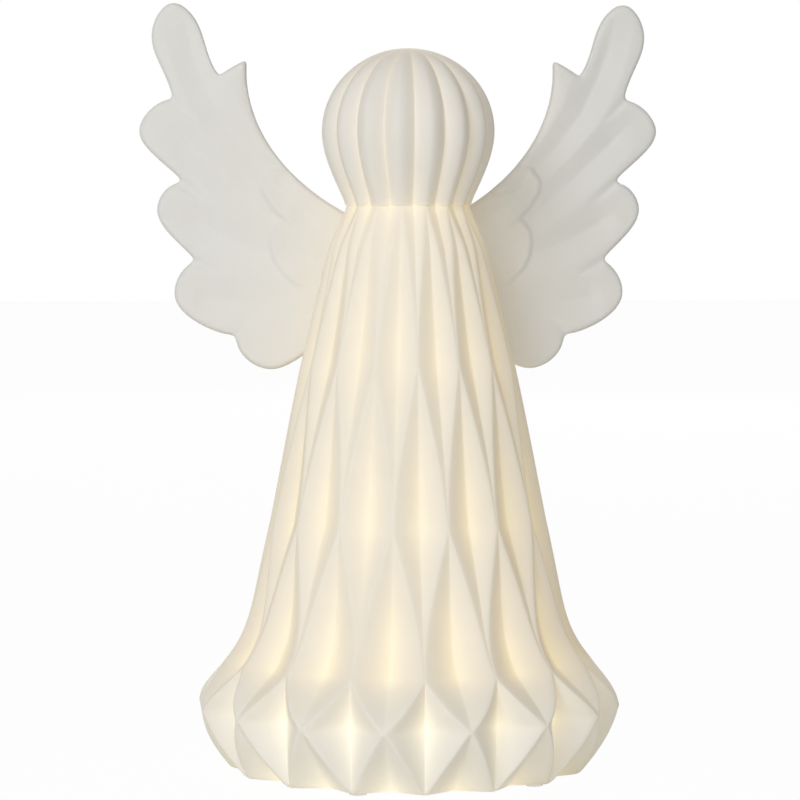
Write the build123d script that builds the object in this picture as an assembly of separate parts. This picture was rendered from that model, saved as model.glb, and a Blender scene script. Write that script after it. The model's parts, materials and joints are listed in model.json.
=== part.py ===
from build123d import *

import os
from math import cos, exp, pi, radians, sin

# Lit porcelain angel: a pleated dress, with a fluted head and two wings luted to
# it, and a battery light unit that pushes up into the foot.
# Millimetres, +Z up, front towards -Y, origin on the table under the axis.

# ---------------------------------------------------------------- porcelain
FLUTES = 16                     # pleats around the dress and flutes on the head
WALL = 2.6                      # thinnest wall, from the valleys to the smooth hollow
PAD_HEIGHT = 1.0                # silicone pads under the foot
FOOT_RIM = 3.5                  # recess under the foot out to the valleys at the foot
FOOT_FOLD = 8.0                 # those valleys out to the fold ridges between them
HEM_RISE = 24.4                 # foot up to the widest corners of the hem
HEM_RADIUS = 80.8
HEM_BULGE = 2.3                 # how far the ridges under the hem bow outwards
ROW_1_RISE = 22.0               # hem up to the ring of diamond tops above it
ROW_2_RISE = 48.5
ROW_2_RADIUS = 52.6
ROW_3_RISE = 55.9
ROW_3_RADIUS = 41.3
ROW_4_RISE = 45.9
ROW_4_RADIUS = 30.2
FLARE_HEIGHT = 18.5             # how quickly the flare of the hem dies out upwards
PLEAT_SLOPE = 0.52              # valley depth over half a diamond's width
TANGENT_STEP = 1e-4             # share of a curve over which its slope is measured
NECK_RISE = 15.1
NECK_RADIUS = 23.2
NECK_SLOPE = 0.47               # widening of the head just above the neck
HEAD_CENTRE_RISE = 27.5         # neck up to the widest part of the head
HEAD_RADIUS = 32.5
HEAD_HALF_HEIGHT = 31.0         # widest part of the head up to its crown
HEAD_FLUTE_DEPTH = 2.3

FLOOR_RECESS = 2.5              # the foot's underside is hollowed this far
FLOOR_THICKNESS = 4.0
FLOOR_HOLE_RADIUS = 49.0        # the light unit goes in here
FLANGE_OVERLAP = 5.0            # its flange reaches this far past the hole
FLANGE_CLEARANCE = 2.0          # flange to the side of the recess

PAD_RADIUS = 3.2
PAD_INSET = 1.3                 # recess to the pads round it
PAD_ANGLES = (33.75, 146.25, 213.75, 326.25)

# ---------------------------------------------------------------- wings
WING_THICKNESS = 6.0
WING_EDGE = 1.2                 # bevel round the rim
WING_SWEEP = 8.0                # degrees that each wing leans back
WING_ROOT_X = 12.0              # inner edge of a wing, beside the spine
WING_ROOT_Y = 26.0              # middle of the wing's thickness at that edge

# Outline of the left wing from its root, as x outwards and z up.
# Every row runs from one sharp corner to the next and is one smooth curve.
WING_FEATHERS = (
    ((17.0, 207.5), (37.7, 220.8), (51.9, 237.3), (58.3, 253.0), (59.2, 268.4)),
    ((59.2, 268.4), (65.9, 264.9), (70.0, 262.2)),
    ((70.0, 262.2), (75.0, 273.0), (80.0, 285.0), (87.4, 290.0), (95.7, 280.0),
     (91.8, 264.3), (87.8, 253.3)),
    ((87.8, 253.3), (97.5, 248.3), (100.9, 241.5), (94.5, 231.1), (84.2, 221.6)),
    ((84.2, 221.6), (92.8, 215.8), (94.1, 211.3), (89.2, 201.4), (79.5, 191.5)),
    ((79.5, 191.5), (86.9, 183.0), (87.6, 178.5), (81.3, 169.3), (64.0, 162.8)),
    ((64.0, 162.8), (60.3, 154.1), (50.9, 149.7), (38.5, 154.6), (22.0, 163.0)),
)
# Raised coverts over the root of the wing, outline as above.
COVERT_HEIGHT = 1.0             # each covert layer stands this far off the one below
COVERTS = (
    ((20.0, 205.0), (36.0, 216.0), (47.0, 219.5), (53.5, 209.0), (52.5, 199.0), (45.5, 194.5)),
    ((45.5, 194.5), (52.0, 188.0), (50.5, 180.0), (42.5, 172.5), (24.0, 170.0)),
)

# ---------------------------------------------------------------- light unit
FLANGE_GAP = 1.0                # table to the underside of the unit's flange
CUP_CLEARANCE = 1.5             # cup to the hole in the porcelain floor
CUP_WALL = 1.8
FLOOR_PLATE = 2.0               # floor of the cup, and the battery door
DECK_GAP = 0.8                  # roof of the battery bay to the lid
LID_THICKNESS = 2.0
GROOVE_DEPTH = 0.5              # seat of the grip ring
GROOVE_MARGIN = 0.5             # above and below the grip ring, within the porcelain floor
GRIP_GAP = 0.2                  # grip ring to the porcelain

CELL_COUNT = 3
CELL_DIAMETER = 14.5
CELL_LENGTH = 50.5
CELL_NUB_RADIUS = 2.75
CELL_NUB_LENGTH = 1.2
CELL_ROUNDING = 0.6
CELL_GAP = 0.7                  # between neighbouring cells
CELL_LIFT = 0.3                 # battery door to the cells
SPRING_LENGTH = 5.0
SPRING_WIRE = 0.8
SPRING_TURNS = 3
SPRING_RADIUS = 4.2
PLATE_THICKNESS = 0.8
PLATE_WIDTH = 11.0
PLATE_HEIGHT = 12.0
TAIL_WIDTH = 3.0
BAY_WALL = 1.6
BAY_SIDE_GAP = 0.5              # outer cells to the walls of the battery bay
BAY_LEDGE = 2.0                 # the door's edge rests on this much of the bay's wall

DOOR_CLEARANCE = 0.3
TONGUE_LENGTH = 8.5
TONGUE_WIDTH = 10.0
HINGE_OFFSET = 2.8              # bay side of the door out to its hinge pin
KNUCKLE_RADIUS = 1.5
KNUCKLE_LENGTH = 8.0
KNUCKLE_Y = 10.0
PIN_RADIUS = 0.75
SLIP_GAP = 0.05                 # between small parts that slide or turn on each other
KNUCKLE_GAP = 0.9               # hinge knuckles to the base as they turn
PIN_LENGTH = 34.0
HINGE_BLOCK_WIDTH = 38.0
HINGE_BLOCK_HEIGHT = 4.2

SCREW_SHANK_RADIUS = 1.3
SCREW_HEAD_RADIUS = 2.6
SCREW_HEAD_HEIGHT = 1.0
SCREW_LENGTH = 5.0
SCREW_SLOT = 0.7
SCREW_CROSS_LENGTH = 3.4        # cross recess of the lid screws
SCREW_SINK = 0.7                # door screw's head below the door's face
SCREW_CLEARANCE = 0.5
BOSS_WALL = 1.7

SWITCH_INSET = 11.5             # side of the cup in to the middle of the switch
SWITCH_LENGTH = 13.0
SWITCH_WIDTH = 6.0
SWITCH_HEIGHT = 5.0
SWITCH_TRAVEL = 4.0
KNOB_LENGTH = 5.0
KNOB_WIDTH = 4.0
KNOB_DROP = 0.6                 # how far the knob stands below the flange
KNOB_CLEARANCE = 0.3
KNOB_RECESS = 0.8
STEM_LENGTH = 2.4
STEM_WIDTH = 2.0
GUIDE_THICKNESS = 0.8
LEAD_RADIUS = 0.5
LEAD_PITCH = 3.0
LEAD_OFFSET = 2.4               # middle of the switch in to its leads

BOARD_THICKNESS = 1.6
BOARD_GAP = 0.5                 # board to the inside of the diffuser
LED_COUNT = 6
LED_RING_RADIUS = 17.0
LED_SIZE = (3.5, 2.8, 1.9)
CHIP_SIZE = (6.0, 5.0, 1.6)
DIFFUSER_INSET = 10.5           # side of the cup in to the diffuser, lid screws between
DIFFUSER_HEIGHT = 22.0
DIFFUSER_WALL = 1.5
DIFFUSER_RIM = 3.0              # upright part of the diffuser round the board

LID_SCREW_ANGLES = (45.0, 180.0, 315.0)
LID_SCREW_LENGTH = 9.0

# ---------------------------------------------------------------- worked out
STEP = 360.0 / FLUTES
HALF_STEP = STEP / 2

foot_z = PAD_HEIGHT
hem_z = foot_z + HEM_RISE
row_1_z = hem_z + ROW_1_RISE
row_2_z = row_1_z + ROW_2_RISE
row_3_z = row_2_z + ROW_3_RISE
row_4_z = row_3_z + ROW_4_RISE
neck_z = row_4_z + NECK_RISE
head_z = neck_z + HEAD_CENTRE_RISE
floor_z = foot_z + FLOOR_RECESS
floor_top_z = floor_z + FLOOR_THICKNESS

flange_radius = FLOOR_HOLE_RADIUS + FLANGE_OVERLAP
recess_radius = flange_radius + FLANGE_CLEARANCE
foot_valley_radius = recess_radius + FOOT_RIM
foot_radius = foot_valley_radius + FOOT_FOLD
pad_ring_radius = recess_radius + PAD_INSET + PAD_RADIUS

plate_z = FLANGE_GAP + PAD_HEIGHT
plate_top_z = plate_z + FLOOR_PLATE
cup_radius = FLOOR_HOLE_RADIUS - CUP_CLEARANCE
diffuser_radius = cup_radius - DIFFUSER_INSET
board_radius = diffuser_radius - DIFFUSER_WALL - BOARD_GAP
lid_screw_radius = diffuser_radius + (DIFFUSER_INSET - CUP_WALL) / 2

cell_pitch = CELL_DIAMETER + CELL_GAP
cell_z = plate_top_z + CELL_LIFT + CELL_DIAMETER / 2
bay_half_x = (CELL_LENGTH + SPRING_LENGTH + 2 * PLATE_THICKNESS) / 2
bay_half_y = (CELL_COUNT * CELL_DIAMETER + (CELL_COUNT - 1) * CELL_GAP) / 2 + BAY_SIDE_GAP
bay_top_z = cell_z + CELL_DIAMETER / 2 + CELL_LIFT
lid_z = bay_top_z + BAY_WALL + DECK_GAP
lid_top_z = lid_z + LID_THICKNESS
board_top_z = lid_top_z + BOARD_THICKNESS
door_half_x = bay_half_x + BAY_LEDGE
door_half_y = bay_half_y + BAY_LEDGE
hinge_x = -door_half_x - HINGE_OFFSET
hinge_z = plate_z + KNUCKLE_RADIUS
screw_x = door_half_x + TONGUE_LENGTH / 2
knuckle_room = KNUCKLE_RADIUS + KNUCKLE_GAP
swing_room = HINGE_OFFSET - (HINGE_OFFSET ** 2 - KNUCKLE_RADIUS ** 2) ** 0.5 + DOOR_CLEARANCE
switch_y = -(cup_radius - SWITCH_INSET)
lead_y = switch_y + LEAD_OFFSET
switch_x = SWITCH_TRAVEL / 2
switch_z = plate_top_z + GUIDE_THICKNESS + KNOB_CLEARANCE
groove_low = floor_z + GROOVE_MARGIN
groove_high = floor_top_z - GROOVE_MARGIN


# ---------------------------------------------------------------- helpers
def around(radius, degrees, z):
    """A point at an angle from the front, turning towards +X."""
    return Vector(radius * sin(radians(degrees)), -radius * cos(radians(degrees)), z)


def block(x_low, x_high, y_low, y_high, z_low, z_high):
    """A box between two corners."""
    size = (x_high - x_low, y_high - y_low, z_high - z_low)
    middle = Vector((x_low + x_high) / 2, (y_low + y_high) / 2, (z_low + z_high) / 2)
    return Pos(middle) * Box(*size)


def disc(radius, z_low, z_high, x=0.0, y=0.0):
    """An upright cylinder between two heights."""
    return Pos(x, y, (z_low + z_high) / 2) * Cylinder(radius, z_high - z_low)


def rod(start, end, radius):
    """A straight round rod between two points."""
    line = Vector(end) - Vector(start)
    plane = Plane(origin=start, z_dir=line)
    return extrude(plane * Circle(radius), line.length)


def cubic(curve, start, end):
    """Control points of the cubic that follows curve from start to end."""
    step = (end - start) * TANGENT_STEP
    leave = (curve(start + step) - curve(start)) / (3 * TANGENT_STEP)
    arrive = (curve(end) - curve(end - step)) / (3 * TANGENT_STEP)
    return [curve(start), curve(start) + leave, curve(end) - arrive, curve(end)]


def straight(start, end):
    """Control points of a straight line."""
    return cubic(lambda share: start + (end - start) * share, 0.0, 1.0)


# ---------------------------------------------------------------- porcelain
valley_share = PLEAT_SLOPE * sin(radians(HALF_STEP))    # deepest valleys over the radius
groove_share = HEAD_FLUTE_DEPTH / HEAD_RADIUS


def dress_radius(z):
    """Radius of the dress's fold ridges at a height, hem and above."""
    def cone(height):
        if height < row_3_z:
            slope = (ROW_3_RADIUS - ROW_2_RADIUS) / ROW_3_RISE
        else:
            slope = (ROW_4_RADIUS - ROW_3_RADIUS) / ROW_4_RISE
        return ROW_3_RADIUS + slope * (height - row_3_z)

    flare = HEM_RADIUS - cone(hem_z)
    return cone(z) + flare * exp(-(((z - hem_z) / FLARE_HEIGHT) ** 2))


fold_radius = foot_radius + (dress_radius(row_1_z) - foot_radius) * (
    (hem_z - foot_z) / (row_1_z - foot_z))              # the folds at the hem's height


def ridge(angle_low, z_low, angle_high, z_high):
    """A ridge that winds from one corner of a diamond to the next."""
    def at(z):
        share = (z - z_low) / (z_high - z_low)
        return around(dress_radius(z), angle_low + (angle_high - angle_low) * share, z)
    return cubic(at, z_low, z_high)


def valley(angle, z_node, z_deep):
    """A valley from a diamond's tip to its deepest place."""
    depth = dress_radius(z_deep) * valley_share

    def at(z):
        share = (z - z_node) / (z_deep - z_node)
        return around(dress_radius(z) - depth * sin(share * pi / 2), angle, z)
    return cubic(at, z_node, z_deep)


def half_diamond(angle, tip_z, side_z):
    """Both patches between a diamond's tip and its widest level, ridges outside."""
    return [(ridge(angle, tip_z, angle + side, side_z), valley(angle, tip_z, side_z))
            for side in (-HALF_STEP, HALF_STEP)]


def foot_ridge(angle, side):
    """A ridge from a fold at the foot to a corner of the hem."""
    def at(share):
        bow = 4 * HEM_BULGE * share * (1 - share)
        radius = foot_radius + (HEM_RADIUS - foot_radius) * share + bow
        return around(radius, angle + side * share, foot_z + HEM_RISE * share)
    return cubic(at, 0.0, 1.0)


def head_lower(radius, neck_radius, angle):
    """The side of the head from the neck up to its widest part."""
    third = HEAD_CENTRE_RISE / 3
    slope = NECK_SLOPE * radius / HEAD_RADIUS * third
    return [around(neck_radius, angle, neck_z),
            around(neck_radius + slope, angle, neck_z + third),
            around(radius, angle, head_z - third), around(radius, angle, head_z)]


def head_upper(radius, rise, angle):
    """The side of the head from its widest part up to the crown."""
    return cubic(lambda turn: around(radius * cos(turn), angle, head_z + rise * sin(turn)),
                 0.0, pi / 2)


def closed(patches, *rims):
    """The closed solid inside ruled patches and the level rims that bound them."""
    faces = [Face.make_bezier_surface([first, second]) for first, second in patches]
    return Solid(Shell(faces + [Face(Wire.make_polygon(rim)) for rim in rims]))


def pleated_rim(radius, z, depth_share, first_angle):
    """Corners of a level rim, ridges at first_angle and valleys between them."""
    rim = []
    for number in range(FLUTES):
        angle = first_angle + number * STEP
        rim += [around(radius, angle, z), around(radius * (1 - depth_share), angle + HALF_STEP, z)]
    return rim


foot_rim = pleated_rim(foot_radius, foot_z, 1 - foot_valley_radius / foot_radius, HALF_STEP)
waist_rim = pleated_rim(dress_radius(row_2_z), row_2_z, valley_share, 0)
neck_rim = pleated_rim(NECK_RADIUS, neck_z, groove_share, 0)


def dress_lower_filled():
    """The hem and the lower rows of pleats, with no hollow."""
    patches = []
    for number in range(FLUTES):
        angle = number * STEP
        fold_angle = angle + HALF_STEP
        corner = around(HEM_RADIUS, angle, hem_z)
        foot_valley = around(foot_valley_radius, angle, foot_z)
        low_point = around(foot_radius, fold_angle, foot_z)
        fold_point = around(fold_radius, fold_angle, hem_z)
        top_point = around(dress_radius(row_1_z), fold_angle, row_1_z)
        for side in (-HALF_STEP, HALF_STEP):
            patches.append((foot_ridge(fold_angle, side), straight(low_point, fold_point)))
            patches.append((foot_ridge(angle - side, side), straight(foot_valley, corner)))
            patches.append((ridge(fold_angle, row_1_z, fold_angle + side, hem_z),
                            straight(top_point, fold_point)))
        patches += half_diamond(angle, hem_z, row_1_z) + half_diamond(angle, row_2_z, row_1_z)
        patches += half_diamond(fold_angle, row_1_z, row_2_z)
    return closed(patches, foot_rim, waist_rim)


def dress_upper_filled():
    """The upper rows of pleats up to the neck, with no hollow."""
    patches = []
    for number in range(FLUTES):
        angle = number * STEP
        fold_angle = angle + HALF_STEP
        patches += half_diamond(fold_angle, row_3_z, row_2_z)
        patches += half_diamond(angle, row_2_z, row_3_z) + half_diamond(angle, row_4_z, row_3_z)
        patches += half_diamond(fold_angle, row_3_z, row_4_z)
        deep_point = around(dress_radius(row_4_z) * (1 - valley_share), fold_angle, row_4_z)
        neck_valley = around(NECK_RADIUS * (1 - groove_share), fold_angle, neck_z)
        for side in (-HALF_STEP, HALF_STEP):
            shoulder = around(dress_radius(row_4_z), fold_angle + side, row_4_z)
            neck_ridge = around(NECK_RADIUS, fold_angle + side, neck_z)
            patches.append((straight(shoulder, neck_ridge), straight(deep_point, neck_valley)))
    return closed(patches, waist_rim, neck_rim)


def head_filled():
    """The fluted head, with no hollow."""
    patches = []
    scale = 1 - groove_share
    for number in range(FLUTES):
        angle = number * STEP
        groove = angle + HALF_STEP
        for side in (angle, angle + STEP):
            patches.append((head_lower(HEAD_RADIUS, NECK_RADIUS, side),
                            head_lower(HEAD_RADIUS * scale, NECK_RADIUS * scale, groove)))
            patches.append((head_upper(HEAD_RADIUS, HEAD_HALF_HEIGHT, side),
                            head_upper(HEAD_RADIUS * scale, HEAD_HALF_HEIGHT, groove)))
    return closed(patches, neck_rim)


def turned(edges):
    """The solid that a profile of edges, from the axis back to the axis, sweeps."""
    closing = Line(edges[-1] @ 1, edges[0] @ 0)
    return revolve(Face(Wire(edges + [closing])), Axis.Z)


def tapered(*profile):
    """The round solid through level circles, each given as its radius and height."""
    profile = [(0, profile[0][1]), *profile, (0, profile[-1][1])]
    corners = [Vector(radius, 0, z) for radius, z in profile]
    return turned([Line(*pair) for pair in zip(corners, corners[1:])])


def hollow_at(z):
    """Radius and height of the smooth hollow where the pleats are deepest."""
    return dress_radius(z) * (1 - valley_share) - WALL, z


neck_hollow = NECK_RADIUS * (1 - groove_share) - WALL


def make_dress_lower():
    rise = (floor_top_z - foot_z) / HEM_RISE
    foot_hollow = foot_valley_radius + (HEM_RADIUS - foot_valley_radius) * rise - WALL
    hollow = tapered((foot_hollow, floor_top_z), (fold_radius - WALL, hem_z),
                     hollow_at(row_1_z), hollow_at(row_2_z))
    dress = dress_lower_filled().cut(hollow)
    dress = dress.cut(disc(recess_radius, foot_z, floor_z))
    return dress.cut(disc(FLOOR_HOLE_RADIUS, floor_z, floor_top_z))


def make_dress_upper(filled):
    return filled.cut(tapered(hollow_at(row_2_z), hollow_at(row_3_z), hollow_at(row_4_z),
                              (neck_hollow, neck_z)))


def make_head():
    radius = HEAD_RADIUS * (1 - groove_share) - WALL
    front = 0.0
    edges = [Line((0, 0, neck_z), around(neck_hollow, front, neck_z)),
             Bezier(*head_lower(radius, neck_hollow, front)),
             Bezier(*head_upper(radius, HEAD_HALF_HEIGHT - WALL, front))]
    return head_filled().cut(turned(edges))


def make_foot_pads():
    pads = []
    for angle in PAD_ANGLES:
        place = around(pad_ring_radius, angle, 0)
        pads.append(disc(PAD_RADIUS, 0, foot_z, place.X, place.Y))
    return Compound(pads)


# ---------------------------------------------------------------- wings
def wing_plane(depth):
    """The plane of the left wing, at a depth behind its middle."""
    lean = radians(WING_SWEEP)
    along = Vector(-cos(lean), sin(lean), 0)
    back = Vector(sin(lean), cos(lean), 0)
    axis_point = Vector(-WING_ROOT_X, WING_ROOT_Y, 0) - along * WING_ROOT_X
    return Plane(origin=axis_point + back * depth, x_dir=along, z_dir=back)


def wing_layer(rows, front, back):
    """A slab with a smooth outline between two depths of the wing."""
    edges = [Spline(row) for row in rows]
    closing = Line(edges[-1] @ 1, edges[0] @ 0)
    plane = wing_plane(front)
    return extrude(plane * Face(Wire(edges + [closing])), back - front, dir=plane.z_dir)


def make_wing_left(dress):
    half = WING_THICKNESS / 2
    wing = wing_layer(WING_FEATHERS, -half, half)
    rims = wing.faces().sort_by(SortBy.AREA)[-2:]
    wing = chamfer(rims.edges(), WING_EDGE)
    wing = wing.fuse(wing_layer(COVERTS, -half - COVERT_HEIGHT, 0))
    return wing.cut(dress)


# ---------------------------------------------------------------- light unit
def lid_screw_discs(radius, z_low, z_high):
    """Upright cylinders at the three lid screws."""
    places = [around(lid_screw_radius, angle, 0) for angle in LID_SCREW_ANGLES]
    return [disc(radius, z_low, z_high, place.X, place.Y) for place in places]


def bay_tail_slots(z_low, z_high):
    """Slots that let the two terminal tails rise to the board."""
    half = TAIL_WIDTH / 2 + DOOR_CLEARANCE
    far = bay_half_x
    near = bay_half_x - PLATE_THICKNESS - DOOR_CLEARANCE
    outer = cell_pitch * (CELL_COUNT - 1) / 2
    return [block(near, far, -outer - half, -outer + half, z_low, z_high),
            block(-far, -near, outer - half, outer + half, z_low, z_high)]


def door_plate(grow, z_low, z_high):
    """The battery door's outline, with its screw tongue, grown all round."""
    plate = block(-door_half_x - grow, door_half_x + grow,
                  -door_half_y - grow, door_half_y + grow, z_low, z_high)
    half = TONGUE_WIDTH / 2 + grow
    return plate + block(0, door_half_x + TONGUE_LENGTH + grow, -half, half, z_low, z_high)


def hinge_barrel(radius, y, length):
    """A cylinder along the battery door's hinge line."""
    return Pos(hinge_x, y, hinge_z) * Rot(90, 0, 0) * Cylinder(radius, length)


def make_housing_base():
    base = disc(flange_radius, plate_z, floor_z)
    base += disc(cup_radius, plate_z, lid_z)
    base -= disc(cup_radius - CUP_WALL, plate_top_z, lid_z)
    base -= disc(cup_radius, groove_low, groove_high) - disc(
        cup_radius - GROOVE_DEPTH, groove_low, groove_high)
    wall_x = bay_half_x + BAY_LEDGE + BAY_WALL
    wall_y = bay_half_y + BAY_LEDGE + BAY_WALL
    base += block(-wall_x, wall_x, -wall_y, wall_y, plate_z, bay_top_z + BAY_WALL)
    base += block(hinge_x - knuckle_room - BAY_WALL, 0, -HINGE_BLOCK_WIDTH / 2,
                  HINGE_BLOCK_WIDTH / 2, plate_z, plate_z + FLOOR_PLATE + HINGE_BLOCK_HEIGHT)
    boss_radius = SCREW_SHANK_RADIUS + SCREW_CLEARANCE + BOSS_WALL
    screw_top = plate_top_z + SCREW_LENGTH + DOOR_CLEARANCE
    base += disc(boss_radius, plate_z, screw_top + BOSS_WALL, screw_x)
    for boss in lid_screw_discs(SCREW_SHANK_RADIUS + BOSS_WALL, plate_z, lid_z):
        base += boss
    for hole in lid_screw_discs(SCREW_SHANK_RADIUS, lid_z - LID_SCREW_LENGTH, lid_z):
        base -= hole
    base -= block(-bay_half_x, bay_half_x, -bay_half_y, bay_half_y, plate_z, bay_top_z)
    base -= door_plate(DOOR_CLEARANCE, plate_z, plate_top_z)
    base -= block(-door_half_x - swing_room, 0, -door_half_y - DOOR_CLEARANCE,
                  door_half_y + DOOR_CLEARANCE, plate_z, plate_top_z)
    base -= disc(SCREW_SHANK_RADIUS + SCREW_CLEARANCE, plate_z, screw_top, screw_x)
    for y in (-KNUCKLE_Y, KNUCKLE_Y):
        half = KNUCKLE_LENGTH / 2 + DOOR_CLEARANCE
        base -= block(hinge_x - knuckle_room, -door_half_x, y - half, y + half,
                      plate_z, hinge_z + knuckle_room)
    base -= hinge_barrel(PIN_RADIUS, 0, PIN_LENGTH)
    for slot in bay_tail_slots(bay_top_z, bay_top_z + BAY_WALL):
        base -= slot
    base -= switch_opening(KNOB_LENGTH, KNOB_WIDTH, plate_z, plate_z + KNOB_RECESS)
    base -= switch_opening(STEM_LENGTH, STEM_WIDTH, plate_z, plate_top_z)
    guide_end = KNOB_LENGTH / 2 + SWITCH_TRAVEL / 2 + KNOB_CLEARANCE
    for end in (-1, 1):
        near = switch_x + end * guide_end
        far = switch_x + end * (SWITCH_LENGTH / 2 + BAY_WALL)
        base += switch_block(min(near, far), max(near, far), plate_top_z, switch_z)
    return base


def switch_opening(length, width, z_low, z_high):
    """Room for a part of the switch knob over its travel."""
    x_low = -length / 2 - KNOB_CLEARANCE
    x_high = length / 2 + SWITCH_TRAVEL + KNOB_CLEARANCE
    half = width / 2 + KNOB_CLEARANCE
    return block(x_low, x_high, switch_y - half, switch_y + half, z_low, z_high)


def make_housing_lid():
    lid = disc(cup_radius, lid_z, lid_top_z)
    for hole in lid_screw_discs(SCREW_SHANK_RADIUS, lid_z, lid_top_z):
        lid -= hole
    for slot in bay_tail_slots(lid_z, lid_top_z):
        lid -= slot
    room = LEAD_RADIUS + SCREW_CLEARANCE
    return lid - block(switch_x - LEAD_PITCH / 2 - room, switch_x + LEAD_PITCH / 2 + room,
                       lead_y - room, lead_y + room, lid_z, lid_top_z)


def make_housing_screws():
    screws = []
    for angle in LID_SCREW_ANGLES:
        slot = Pos(around(lid_screw_radius, angle, lid_top_z + SCREW_HEAD_HEIGHT))
        x, y = slot.position.X, slot.position.Y
        screw = disc(SCREW_SHANK_RADIUS, lid_top_z - LID_SCREW_LENGTH, lid_top_z, x, y)
        screw += disc(SCREW_HEAD_RADIUS, lid_top_z, lid_top_z + SCREW_HEAD_HEIGHT, x, y)
        for turn in (0, 90):
            screw -= slot * Rot(0, 0, turn) * Box(
                SCREW_CROSS_LENGTH, SCREW_SLOT, SCREW_HEAD_HEIGHT)
        screws.append(screw)
    return Compound(screws)


def make_grip_ring():
    ring_section = disc(FLOOR_HOLE_RADIUS - GRIP_GAP, groove_low, groove_high)
    grip = ring_section - disc(cup_radius - GROOVE_DEPTH, groove_low, groove_high)
    rims = grip.edges().filter_by(GeomType.CIRCLE).sort_by(SortBy.RADIUS)[-2:]
    return fillet(rims, GROOVE_DEPTH)


def make_battery_door():
    door = door_plate(0, plate_z, plate_top_z)
    for y in (-KNUCKLE_Y, KNUCKLE_Y):
        door += hinge_barrel(KNUCKLE_RADIUS, y, KNUCKLE_LENGTH)
        half = KNUCKLE_LENGTH / 2
        door += block(hinge_x, -door_half_x, y - half, y + half, plate_z, hinge_z)
    door -= hinge_barrel(PIN_RADIUS + SLIP_GAP, 0, PIN_LENGTH)
    head_top = plate_z + SCREW_SINK + SCREW_HEAD_HEIGHT
    door -= disc(SCREW_HEAD_RADIUS + SLIP_GAP, plate_z, head_top, screw_x)
    return door - disc(SCREW_SHANK_RADIUS + SLIP_GAP, plate_z, plate_top_z, screw_x)


def make_door_hinge_pin():
    return hinge_barrel(PIN_RADIUS, 0, PIN_LENGTH)


def make_door_screw():
    head_low = plate_z + SCREW_SINK
    screw = disc(SCREW_HEAD_RADIUS, head_low, head_low + SCREW_HEAD_HEIGHT, screw_x)
    screw += disc(SCREW_SHANK_RADIUS, head_low, plate_top_z + SCREW_LENGTH, screw_x)
    return screw - block(screw_x - SCREW_HEAD_RADIUS, screw_x + SCREW_HEAD_RADIUS,
                         -SCREW_SLOT / 2, SCREW_SLOT / 2, plate_z, head_low + SCREW_SLOT / 2)


def cell_place(number):
    """Middle of a cell across the bay, and which way its nub points along X."""
    y = (number - (CELL_COUNT - 1) / 2) * cell_pitch
    return y, 1 if number % 2 == 0 else -1


def make_battery_cell(number):
    y, facing = cell_place(number)
    nub_tip = bay_half_x - PLATE_THICKNESS
    can_end = nub_tip - CELL_NUB_LENGTH
    can_start = nub_tip - CELL_LENGTH
    can = rod((facing * can_start, y, cell_z), (facing * can_end, y, cell_z),
              CELL_DIAMETER / 2)
    can = fillet(can.edges(), CELL_ROUNDING)
    return can + rod((facing * (can_end - CELL_NUB_LENGTH), y, cell_z),
                     (facing * nub_tip, y, cell_z), CELL_NUB_RADIUS)


def make_contact_springs():
    springs = []
    reach = SPRING_LENGTH - SPRING_WIRE - 2 * SLIP_GAP
    for number in range(CELL_COUNT):
        y, facing = cell_place(number)
        start_x = -facing * (bay_half_x - PLATE_THICKNESS - SPRING_WIRE / 2 - SLIP_GAP)
        coil = Edge.make_helix(reach / SPRING_TURNS, reach, SPRING_RADIUS)
        section = Plane(origin=coil @ 0, z_dir=coil % 0) * Circle(SPRING_WIRE / 2)
        spring = sweep(section, path=coil)
        springs.append(Pos(start_x, y, cell_z) * Rot(0, facing * 90, 0) * spring)
    return Compound(springs)


def contact(end, y_low, y_high):
    """A contact plate on the bay's end wall, end being +1 or -1 along X."""
    face = end * (bay_half_x - PLATE_THICKNESS)
    wall = end * bay_half_x
    half = PLATE_WIDTH / 2
    return block(min(face, wall), max(face, wall), y_low - half, y_high + half,
                 cell_z - PLATE_HEIGHT / 2, cell_z + PLATE_HEIGHT / 2)


def make_terminal(number, end):
    """A contact plate with a tail that is soldered to the board."""
    y = cell_place(number)[0]
    face = end * (bay_half_x - PLATE_THICKNESS)
    wall = end * bay_half_x
    tail = block(min(face, wall), max(face, wall), y - TAIL_WIDTH / 2, y + TAIL_WIDTH / 2,
                 cell_z, board_top_z)
    return contact(end, y, y) + tail


def make_bridge(first, end):
    """A contact plate that joins two neighbouring cells."""
    return contact(end, cell_place(first)[0], cell_place(first + 1)[0])


def make_circuit_board():
    board = disc(board_radius, lid_top_z, board_top_z)
    for slot in bay_tail_slots(lid_top_z, board_top_z):
        board -= slot
    for lead in switch_lead_rods():
        board -= lead
    return board


def make_led_emitters():
    emitters = []
    for number in range(LED_COUNT):
        turn = number * 360 / LED_COUNT
        place = around(LED_RING_RADIUS, turn, board_top_z + LED_SIZE[2] / 2)
        emitters.append(Pos(place) * Rot(0, 0, turn) * Box(*LED_SIZE))
    return Compound(emitters)


def make_control_chip():
    return Pos(0, 0, board_top_z + CHIP_SIZE[2] / 2) * Box(*CHIP_SIZE)


def dome_solid(radius, rise, z_low):
    """A solid cap of a ball that stands on a level circle."""
    bend = (radius ** 2 + rise ** 2) / (2 * rise)
    ball = Pos(0, 0, z_low + rise - bend) * Sphere(bend)
    return ball & disc(bend, z_low, z_low + rise + DIFFUSER_WALL)


def make_light_diffuser():
    rim_z = lid_top_z + DIFFUSER_RIM
    rise = DIFFUSER_HEIGHT - DIFFUSER_RIM
    dome = dome_solid(diffuser_radius, rise, rim_z)
    hollow = dome_solid(diffuser_radius - DIFFUSER_WALL, rise - DIFFUSER_WALL, rim_z)
    return (dome + disc(diffuser_radius, lid_top_z, rim_z)) - (
        hollow + disc(diffuser_radius - DIFFUSER_WALL, lid_top_z, rim_z))


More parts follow.
